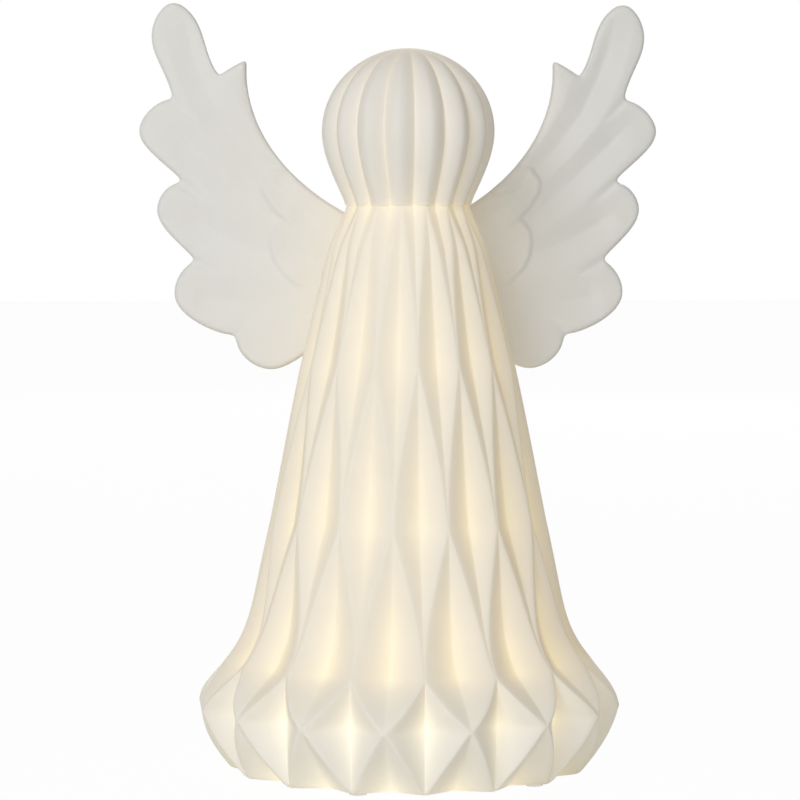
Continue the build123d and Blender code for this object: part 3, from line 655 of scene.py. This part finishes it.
def make_board_white():
    """White solder mask with copper tracks that show through as faint lines."""
    material, tree, shader, place = make_plain(
        "solder_mask", (0.80, 0.81, 0.79), (0.76, 0.78, 0.76), grain(2200.0, 80.0, 0.34, 0.05),
        0.1, 0.00003, coat=0.3)
    tracks = tree.nodes.new("ShaderNodeTexBrick")
    tracks.inputs["Scale"].default_value = 120.0
    tracks.inputs["Mortar Size"].default_value = 0.06
    tree.links.new(place, tracks.inputs["Vector"])
    mask = maths(tree, "MULTIPLY", tracks.outputs["Fac"], 0.35)
    base = shader.inputs["Base Color"].links[0].from_socket
    tree.links.new(mixed(tree, mask, base, (0.62, 0.60, 0.46, 1)), shader.inputs["Base Color"])
    return material


def make_cell_sleeve():
    """Shrink sleeve in two colours with bare metal ends."""
    material, tree, shader, place = new_material("cell_sleeve")
    along = maths(tree, "ABSOLUTE", axes(tree, place)[0])
    base = grained(tree, shader, place, (0.05, 0.09, 0.16), (0.06, 0.11, 0.19),
                   grain(1800.0, 90.0, 0.3, 0.06), 0.1, 0.00003)
    band = ranged(tree, along, SLEEVE_BAND * MM, (SLEEVE_BAND + SLEEVE_BLUR) * MM, 0.0, 1.0)
    banded = mixed(tree, band, base, (0.72, 0.70, 0.66, 1))
    bare = ranged(tree, along, SLEEVE_END * MM, (SLEEVE_END + SLEEVE_BLUR) * MM, 0.0, 1.0)
    tree.links.new(mixed(tree, bare, banded, (0.66, 0.66, 0.68, 1)), shader.inputs["Base Color"])
    tree.links.new(bare, shader.inputs["Metallic"])
    return material


# ------------------------------------------------------------------ camera, floor and light
# Places in metres.
LENS = 152.1                    # mm
VIEW_SIDE = radians(-5.0)       # how far the camera stands round from the front to the right
VIEW_DISTANCE = 1.27
EYE_HEIGHT = 0.2143
AIM_HEIGHT = 0.1395
VIEW_SHIFT = 0.003              # the camera's line passes the axis this far on the left
FLOOR_REACH = 6.0
FLOOR_SHARE = 0.97              # how much of the seen floor is plain white
LAMP_AIM_HEIGHT = 0.15
# Name, place, side, setting that holds the power, and colour.
SOFTBOXES = (
    ("key_softbox", (-1.26, -1.80, 1.30), 0.9, "key_power", (0.985, 0.99, 1.0)),
    ("fill_softbox", (-0.38, -2.17, 0.90), 1.1, "fill_power", (0.985, 0.99, 1.0)),
    ("back_softbox", (0.50, 2.30, 1.10), 1.4, "back_power", (1.0, 0.99, 0.98)),
)


def aim(thing, eye, target):
    """Puts a camera or lamp at eye, looking at target."""
    thing.location = eye
    thing.rotation_euler = (Vector(target) - Vector(eye)).to_track_quat("-Z", "Y").to_euler()


def make_camera():
    """A long lens at the height of the neck, a little to the left of the front."""
    camera = placed("camera", bpy.data.cameras.new("camera"))
    camera.data.lens = LENS
    camera.data.sensor_width = 36.0
    camera.data.clip_start = 0.05
    right = Vector((cos(VIEW_SIDE), sin(VIEW_SIDE), 0))
    forwards = Vector((sin(VIEW_SIDE), -cos(VIEW_SIDE), 0))
    axis = right * -VIEW_SHIFT
    aim(camera, axis + forwards * VIEW_DISTANCE + Vector((0, 0, EYE_HEIGHT)),
        axis + Vector((0, 0, AIM_HEIGHT)))
    bpy.context.scene.camera = camera


def make_softbox(name, eye, size, power, colour):
    """A square softbox that looks at the figure's middle."""
    lamp = bpy.data.lights.new(name, "AREA")
    lamp.size = size
    lamp.energy = power
    lamp.color = colour
    aim(placed(name, lamp), eye, (0, 0, LAMP_AIM_HEIGHT))


def seen(tree):
    """1 for rays that should meet the white background: camera, gloss and glass."""
    path = tree.nodes.new("ShaderNodeLightPath")
    direct = maths(tree, "MAXIMUM", path.outputs["Is Camera Ray"], path.outputs["Is Glossy Ray"])
    return maths(tree, "MAXIMUM", direct, path.outputs["Is Transmission Ray"])


def mixed_shaders(tree, factor, first, second):
    """A mix of two shaders."""
    node = tree.nodes.new("ShaderNodeMixShader")
    tree.links.new(factor, node.inputs[0])
    tree.links.new(first, node.inputs[1])
    tree.links.new(second, node.inputs[2])
    return node.outputs[0]


class ANGEL_OT_stage(bpy.types.Operator):
    """Make the camera, the white floor, the soft lights and the room"""

    bl_idname = "angel.stage"
    bl_label = "Stage"

    def execute(self, context):
        colours = context.scene.angel_colours
        make_camera()
        context.scene.view_settings.view_transform = "Standard"
        bm = bmesh.new()
        bmesh.ops.create_grid(bm, x_segments=1, y_segments=1, size=FLOOR_REACH)
        floor = placed("floor", as_mesh(bm, "floor"))
        floor.data.materials.append(make_floor(tuple(colours.floor)))
        for name, eye, size, power, colour in SOFTBOXES:
            make_softbox(name, eye, size, getattr(colours, power), colour)
        make_room(context.scene, colours.room_level)
        return {"FINISHED"}


def make_floor(colour):
    """A pale floor that looks white but for the object's shadow, and clear from below."""
    material = bpy.data.materials.new("white_floor")
    material.use_nodes = True
    tree = material.node_tree
    tree.nodes.clear()
    place = tree.nodes.new("ShaderNodeTexCoord").outputs["Object"]
    patches = ranged(tree, noise(tree, place, 3.0), 0.3, 0.7, 0.985, 1.0)
    diffuse = tree.nodes.new("ShaderNodeBsdfDiffuse")
    tree.links.new(mixed(tree, patches, (*tinted(colour, 0.9, 0.9, 0.9), 1), (*colour, 1)),
                   diffuse.inputs["Color"])
    glow = tree.nodes.new("ShaderNodeEmission")
    glow.inputs["Color"].default_value = (1, 1, 1, 1)
    glow.inputs["Strength"].default_value = 1.0
    share = maths(tree, "MULTIPLY", seen(tree), FLOOR_SHARE)
    above = mixed_shaders(tree, share, diffuse.outputs[0], glow.outputs[0])
    below = tree.nodes.new("ShaderNodeBsdfTransparent").outputs[0]
    backfacing = tree.nodes.new("ShaderNodeNewGeometry").outputs["Backfacing"]
    output = tree.nodes.new("ShaderNodeOutputMaterial")
    tree.links.new(mixed_shaders(tree, backfacing, above, below), output.inputs["Surface"])
    return material


def make_room(scene, strength):
    """A white room: full white where it is seen, softer and warmer as a light."""
    world = bpy.data.worlds.new("room")
    scene.world = world
    world.use_nodes = True
    tree = world.node_tree
    tree.nodes.clear()
    light = tree.nodes.new("ShaderNodeBackground")
    light.inputs["Color"].default_value = (1.0, 0.965, 0.86, 1)
    light.inputs["Strength"].default_value = strength
    backdrop = tree.nodes.new("ShaderNodeBackground")
    backdrop.inputs["Color"].default_value = (1, 1, 1, 1)
    output = tree.nodes.new("ShaderNodeOutputWorld")
    tree.links.new(mixed_shaders(tree, seen(tree), light.outputs[0], backdrop.outputs[0]),
                   output.inputs["Surface"])


# ------------------------------------------------------------------ light through the walls
# Each share of the light fades with the wall's millimetres over the thinnest wall.
ANY_WALL = 0.25
THIN_SHARE, THIN_FADE = 0.75, 2.9
LOW_SHARE, LOW_FADE = 0.20, 6.0             # low in the dress, where the light unit is
LOW_HEIGHT, LOW_SPREAD = 15.0, 22.0         # over the foot
# Brightness by height: the least, what is added near the light, and how far that reaches.
DRESS_LEAST, DRESS_MORE, DRESS_SPREAD = 0.54, 0.34, 110.0
HEAD_LEAST, HEAD_MORE, HEAD_FADE = 0.20, 0.20, 9.0
# A fine line of painted glow in the valleys above the shoulder, brighter at the neck.
VALLEY_GLOW_SHARE, VALLEY_GLOW_MORE, VALLEY_GLOW_FADE, VALLEY_GLOW_SPREAD = 0.08, 0.08, 0.9, 5.0


def light_through(z, radius):
    """How much light comes through the porcelain's outside, 0 to 1."""
    wall = max(0.0, radius - valley_radius(z))
    low = LOW_SHARE * bell(z - FOOT_Z - LOW_HEIGHT, LOW_SPREAD)
    through = ANY_WALL + THIN_SHARE * exp(-wall / THIN_FADE) + low * exp(-wall / LOW_FADE)
    if z <= NECK_Z:
        reach = DRESS_LEAST + DRESS_MORE * bell(max(0.0, z - LIGHT_Z), DRESS_SPREAD)
    else:
        reach = HEAD_LEAST + HEAD_MORE * exp(-(z - NECK_Z) / HEAD_FADE)
    # Painted glow along the thin walls of the valleys above the shoulder.
    valley_glow = 0.0
    if z > SHOULDER_Z:
        valley_glow = exp(-wall / VALLEY_GLOW_FADE) * (VALLEY_GLOW_SHARE + VALLEY_GLOW_MORE * bell(z - NECK_Z, VALLEY_GLOW_SPREAD))
    return min(1.0, through * reach + valley_glow)


# ------------------------------------------------------------------ dress and head
FOOT_ROWS = 5                   # rows of faces in the foot's rounding
HEM_BAND = 5.0                  # the rows are closer this far up and down from the hem
HEM_STEP = 0.7
DRESS_STEP = 1.2
FACET_COLUMNS = 7               # columns of faces on each facet of the dress
HEAD_STEP = 0.9
DOME_ROWS = 34
FLUTE_COLUMNS = 12
# The hollow is smooth, so its rows lie further apart.
DRESS_HOLLOW_STEP = 14.0
HEAD_HOLLOW_STEP = 3.0
HOLLOW_DOME_ROWS = 10
HEAD_CRISPNESS = 0.6            # softness of the head's valleys over the dress's
# How brightly the inside is lit.
HOLLOW_LIGHT, FLOOR_LIGHT, HOLE_LIGHT, RECESS_LIGHT = 1.0, 0.8, 0.5, 0.3
HEAD_HOLLOW_LIGHT, DOME_LIGHT = 0.8, 0.6


class ANGEL_OT_dress(bpy.types.Operator):
    """Make the pleated dress from one half pleat, with its hollow and foot"""

    bl_idname = "angel.dress"
    bl_label = "Pleated dress"

    def execute(self, context):
        sizes = context.scene.angel_sizes
        ridge_soft, valley_soft = sizes.ridge_softness / MM, sizes.valley_softness / MM
        below, above = HEM_Z - HEM_BAND, HEM_Z + HEM_BAND
        outside = [FOOT_Z + FOOT_ROUNDING * (1 - cos(pi / 2 * i / FOOT_ROWS)) for i in range(FOOT_ROWS)]
        outside += spaced(FOOT_Z + FOOT_ROUNDING, below, DRESS_STEP)[:-1]
        outside += spaced(below, above, HEM_STEP)[:-1] + spaced(above, NECK_Z, DRESS_STEP)
        hollow = spaced(NECK_Z, HEM_Z, DRESS_HOLLOW_STEP) + [FLOOR_TOP_Z]
        rows = [(None, z, None) for z in outside]
        rows += [(hollow_radius(z), z, HOLLOW_LIGHT) for z in hollow]
        rows += [(HOLE_RADIUS, FLOOR_TOP_Z, FLOOR_LIGHT), (HOLE_RADIUS, RECESS_Z, HOLE_LIGHT),
                 (RECESS_RADIUS, RECESS_Z, RECESS_LIGHT), (RECESS_RADIUS, FOOT_Z, RECESS_LIGHT),
                 (None, FOOT_Z, None)]

        def place(column, row):
            radius, z, light = row
            turn = HALF_STEP * (section(z)[0] if radius is None else 0.5)
            if column <= FACET_COLUMNS:
                angle = turn * eased(column / FACET_COLUMNS)
            else:
                angle = turn + (HALF_STEP - turn) * eased((column - FACET_COLUMNS) / FACET_COLUMNS)
            if radius is None:
                radius = dress_outside(angle, z, ridge_soft, valley_soft)
                light = light_through(z, radius)
            return radius, angle, z, light

        dress = finished(pleated_mesh(rows, 2 * FACET_COLUMNS, place), "pleated_dress", "angel",
                         bpy.data.materials["bisque_porcelain"])
        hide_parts("dress_lower", "dress_upper")
        return {"FINISHED"}


class ANGEL_OT_head(bpy.types.Operator):
    """Make the fluted head, open at the neck"""

    bl_idname = "angel.head"
    bl_label = "Fluted head"

    def execute(self, context):
        valley_soft = HEAD_CRISPNESS * context.scene.angel_sizes.valley_softness / MM
        high = CROWN_Z - HEAD_Z
        hollow_high = high - THIN_WALL
        widest = HEAD_RADIUS * (1 - VALLEY_SHARE) - THIN_WALL
        outside = spaced(NECK_Z, HEAD_Z, HEAD_STEP)[:-1]
        outside += [HEAD_Z + high * sin(pi / 2 * i / DOME_ROWS) for i in range(DOME_ROWS + 1)]
        inside = [HEAD_Z + hollow_high * sin(pi / 2 * i / HOLLOW_DOME_ROWS)
                  for i in range(HOLLOW_DOME_ROWS, 0, -1)]
        inside += spaced(HEAD_Z, NECK_Z, HEAD_HOLLOW_STEP)
        rows = [(False, z) for z in outside] + [(True, z) for z in inside] + [(False, NECK_Z)]

        def place(column, row):
            within, z = row
            angle = HALF_STEP * eased(column / FLUTE_COLUMNS)
            if not within:
                radius = head_outside(angle, z, valley_soft)
                return radius, angle, z, light_through(z, radius)
            if z > HEAD_Z:
                rise = min(1.0, (z - HEAD_Z) / hollow_high)
                return widest * sqrt(1 - rise * rise), angle, z, DOME_LIGHT
            return hollow_radius(z), angle, z, HEAD_HOLLOW_LIGHT

        head = finished(pleated_mesh(rows, FLUTE_COLUMNS, place), "fluted_head", "angel",
                        bpy.data.materials["bisque_porcelain"])
        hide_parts("head")
        return {"FINISHED"}


# ------------------------------------------------------------------ wings
# Places in millimetres.
LEAN = radians(8.0)             # each wing leans back this much
WING_ROOT = (12.0, 26.0)        # inner edge of a wing, x outwards and y back
SLAB_HALF = 3.0                 # half the thickness of a wing's slab
ROOT_GAP = 0.8                  # corners this near the dress belong to the wing's root
ROOT_DEPTH = 2.5                # which is pushed this far into the dress
ROOT_SOFTNESS = 0.5
EDGE_FACING, EDGE_FADE = 0.45, 0.4          # how far round the rim the relief fades out
BACK_SHARE = 0.4                # height of the back's relief over the front's
ROOT_GLOW, ROOT_GLOW_FADE = 0.16, 18.0

# Valleys along the feathers and short creases in from the notches between them, as
# points outwards and up, then depth over the deepest, and width of each bank.
GROOVES = (
    (((83.5, 284.0), (80.8, 272.0), (76.5, 261.0), (70.3, 248.0), (60.2, 235.0), (47.0, 222.0)),
     1.0, 8.5),
    (((89.5, 244.0), (81.0, 235.5), (75.3, 230.2), (61.4, 218.0), (50.0, 208.0)), 1.0, 8.5),
    (((84.0, 210.0), (71.1, 202.3), (60.0, 197.4), (48.0, 193.5)), 0.9, 8.5),
    (((79.0, 178.5), (68.0, 176.6), (54.0, 174.8)), 0.65, 9.0),
    (((60.8, 264.0), (58.8, 250.0), (53.0, 237.5), (42.0, 225.0)), 0.3, 4.0),
    (((88.5, 253.8), (80.0, 245.0)), 0.4, 2.6),
    (((84.8, 222.0), (75.5, 214.0)), 0.45, 2.6),
    (((80.0, 192.0), (70.5, 186.5)), 0.45, 2.6),
    (((64.4, 162.4), (59.0, 169.0)), 0.3, 2.6),
    (((70.2, 262.4), (66.0, 253.0)), 0.3, 2.6),
    (((49.5, 221.5), (42.0, 214.5), (34.0, 208.0)), 0.35, 3.5),
    (((46.5, 199.5), (40.0, 195.0), (33.0, 191.5)), 0.35, 3.5),
)
# Outer edges of the short coverts that overlap the feathers' roots, top to bottom.
COVERTS = (
    ((44.0, 226.5), (50.0, 226.0), (53.0, 222.0), (52.6, 217.8), (49.4, 212.6), (44.0, 207.0),
     (38.0, 203.5)),
    ((41.0, 207.5), (45.7, 206.4), (48.8, 203.2), (49.8, 198.8), (48.9, 193.0), (46.5, 188.7),
     (41.0, 183.5), (34.0, 181.0)),
)
COVERT_STEP = 0.5               # height of a covert's edge over the deepest valley
COVERT_EDGE = 1.2               # width of the step there
COVERT_FADE = 9.0               # how soon a covert falls away behind its edge
COVERT_COVER = 0.6              # how much of the grooves a covert hides


def to_wing_plane(side):
    """Turns a wing's world place into outwards, back and up; side is -1 for the left."""
    lean = Matrix(((side * cos(LEAN), sin(LEAN), 0), (-side * sin(LEAN), cos(LEAN), 0), (0, 0, 1)))
    origin = Vector((side * WING_ROOT[0], WING_ROOT[1], 0)) * MM
    origin -= lean.transposed() @ Vector((WING_ROOT[0] * MM, 0, 0))
    return Matrix.Translation(-(lean @ origin)) @ lean.to_4x4()


def along_line(point, line):
    """Distance from a point to a bent line, negative on its body side, and the share
    of the line reached there."""
    total = sum((Vector(b) - Vector(a)).length for a, b in zip(line, line[1:]))
    best, where, walked = float("inf"), 0.0, 0.0
    for start, end in zip(line, line[1:]):
        start, leg = Vector(start), Vector(end) - Vector(start)
        share = max(0.0, min(1.0, (point - start).dot(leg) / leg.length_squared))
        away = point - start - leg * share
        if away.length < abs(best):
            best = -away.length if leg.cross(away) < 0 else away.length
            where = (walked + leg.length * share) / total
        walked += leg.length
    return best, where


def feather_relief(outwards, up):
    """Depth of the wing's relief at a place, over the deepest valley."""
    point = Vector((outwards, up))
    # A groove is shallow at the rim, soon at its full depth, and fades towards the body.
    deep = 0.0
    for line, depth, width in GROOVES:
        away, where = along_line(point, line)
        ends = min(1.0, 1.2 - where * 0.7, 0.3 + where * 4)
        deep = max(deep, depth * ends * (1 - abs(away) / width))
    raised = 0.0
    for line in COVERTS:
        away, where = along_line(point, line)
        ends = min(1.0, where * 5, (1 - where) * 5)
        raised = max(raised, ends * (exp(away / COVERT_FADE) if away < 0 else 1 - away / COVERT_EDGE))
    return deep * (1 - COVERT_COVER * raised) - COVERT_STEP * raised


def on_dress(place):
    """Whether a point in millimetres is within the dress or close to it."""
    x, y, z = place
    if z >= NECK_Z:
        return False
    turn = (atan2(abs(x), -y) + HALF_STEP) % (2 * HALF_STEP)
    turn = min(turn, 2 * HALF_STEP - turn)
    return hypot(x, y) < ROOT_GAP + dress_outside(turn, z, ROOT_SOFTNESS, ROOT_SOFTNESS)


def soften(bm, passes, factor):
    """Evens a mesh out."""
    for _ in range(passes):
        bmesh.ops.smooth_vert(bm, verts=bm.verts[:], factor=factor, use_axis_x=True,
                              use_axis_y=True, use_axis_z=True)


def wing_clay(context, node, side, flat):
    """A wing's CAD slab, rooted in the dress, as an even closed mesh in the wing's own plane."""
    bm = bmesh.new()
    bm.from_mesh(frame["nodes"][node].data)
    bmesh.ops.remove_doubles(bm, verts=bm.verts[:], dist=SAME_PLACE)
    for vert in bm.verts:
        if on_dress(vert.co / MM):
            vert.co.x -= side * ROOT_DEPTH * MM
    bmesh.ops.transform(bm, matrix=flat, verts=bm.verts[:])
    for vert in bm.verts:
        vert.co.y = max(vert.co.y, -SLAB_HALF * MM)
    if side < 0:
        bmesh.ops.reverse_faces(bm, faces=bm.faces[:])
    slab = placed(node + "_slab", as_mesh(bm, node + "_slab"))
    remesh = slab.modifiers.new("clay", "REMESH")
    remesh.mode = "VOXEL"
    remesh.voxel_size = context.scene.angel_sizes.clay_cell
    clay = bmesh.new()
    clay.from_mesh(slab.evaluated_get(context.evaluated_depsgraph_get()).to_mesh())
    bpy.data.objects.remove(slab)
    if not clay.faces:
        raise RuntimeError("the slab of " + node + " could not be remeshed")
    return clay


def make_wing(context, side):
    """A wing modelled from its CAD slab: softened, then given feathers and its glow."""
    node = "wing_left" if side < 0 else "wing_right"
    flat = to_wing_plane(side)
    bm = wing_clay(context, node, side, flat)
    soften(bm, 9, 0.5)
    bm.normal_update()
    for vert in bm.verts:
        facing = vert.normal.y
        flatness = max(0.0, min(1.0, (abs(facing) - EDGE_FACING) / EDGE_FADE))
        if flatness:
            relief = feather_relief(vert.co.x / MM, vert.co.z / MM) * flatness
            depth = context.scene.angel_sizes.feather_depth
            vert.co.y += depth * (relief if facing < 0 else -BACK_SHARE * relief)
    soften(bm, 1, 0.35)
    bmesh.ops.transform(bm, matrix=flat.inverted(), verts=bm.verts[:])
    bmesh.ops.recalc_face_normals(bm, faces=bm.faces[:])
    glow = bm.verts.layers.float.new("glow")
    for vert in bm.verts:
        x, y, z = vert.co / MM
        near = max(0.0, hypot(x, y) - dress_radius(min(z, SHOULDER_Z)))
        vert[glow] = ROOT_GLOW * exp(-near / ROOT_GLOW_FADE)
    wing = finished(bm, "feathered_" + node, "angel",
                    bpy.data.materials["bisque_porcelain"], 60.0)
    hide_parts(node)


class ANGEL_OT_wings(bpy.types.Operator):
    """Make both wings, with a groove along each feather and scalloped coverts"""

    bl_idname = "angel.wings"
    bl_label = "Feathered wings"

    def execute(self, context):
        for side in (-1, 1):
            make_wing(context, side)
        return {"FINISHED"}


# ------------------------------------------------------------------ light unit
class ANGEL_OT_finishes(bpy.types.Operator):
    """Make the shared node groups and the bisque finish"""

    bl_idname = "angel.finishes"
    bl_label = "Finishes"

    def execute(self, context):
        build_grain_group()
        build_glow_group()
        make_bisque(context.scene.angel_colours)
        return {"FINISHED"}


def make_pads(material):
    """The foot pads, turned half a pleat with the dress."""
    bm = bmesh.new()
    bm.from_mesh(frame["nodes"]["foot_pads"].data)
    bmesh.ops.remove_doubles(bm, verts=bm.verts[:], dist=0.1 * SAME_PLACE)
    turn_about_axis(bm, bm.verts[:], HALF_STEP)
    pads = finished(bm, "clear_foot_pads", "angel", material)
    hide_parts("foot_pads")


class ANGEL_OT_light_unit(bpy.types.Operator):
    """Finish every part of the battery light unit and the foot pads"""

    bl_idname = "angel.light_unit"
    bl_label = "Light unit"

    def execute(self, context):
        made = make_unit_materials(context.scene.angel_colours)
        make_pads(made["clear_silicone"])
        slots = {part["node"]: part["material_slot"] for part in frame["record"]["subparts"]}
        for name, piece in frame["nodes"].items():
            if slots[name] in made:
                for slot in piece.material_slots:
                    slot.material = made[slots[name]]
        return {"FINISHED"}


# ------------------------------------------------------------------ panel and run
class ANGEL_PT_panel(bpy.types.Panel):
    """Sizes, colours and pieces of the angel"""

    bl_label = "Lit porcelain angel"
    bl_idname = "ANGEL_PT_panel"
    bl_space_type = "VIEW_3D"
    bl_region_type = "UI"
    bl_category = "Angel"

    def draw(self, context):
        for group in (context.scene.angel_sizes, context.scene.angel_colours):
            box = self.layout.box()
            for name in group.__annotations__:
                box.prop(group, name)
        for operator in OPERATORS:
            self.layout.operator(operator.bl_idname)


OPERATORS = (ANGEL_OT_stage, ANGEL_OT_finishes, ANGEL_OT_dress, ANGEL_OT_head, ANGEL_OT_wings,
             ANGEL_OT_light_unit)
CLASSES = (AngelSizes, AngelColours, *OPERATORS, ANGEL_PT_panel)


def register():
    for item in CLASSES:
        bpy.utils.register_class(item)
    bpy.types.Scene.angel_sizes = PointerProperty(type=AngelSizes)
    bpy.types.Scene.angel_colours = PointerProperty(type=AngelColours)


def unregister():
    del bpy.types.Scene.angel_colours
    del bpy.types.Scene.angel_sizes
    for item in reversed(CLASSES):
        bpy.utils.unregister_class(item)


def plain(bounds):
    """A box's corners as plain lists."""
    return [[float(value) for value in corner] for corner in bounds]


def main():
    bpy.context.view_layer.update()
    register()
    bpy.ops.angel.stage()
    bpy.ops.angel.finishes()
    bpy.ops.angel.dress()
    bpy.ops.angel.head()
    bpy.ops.angel.wings()
    bpy.ops.angel.light_unit()


if __name__ == "__main__":
    main()
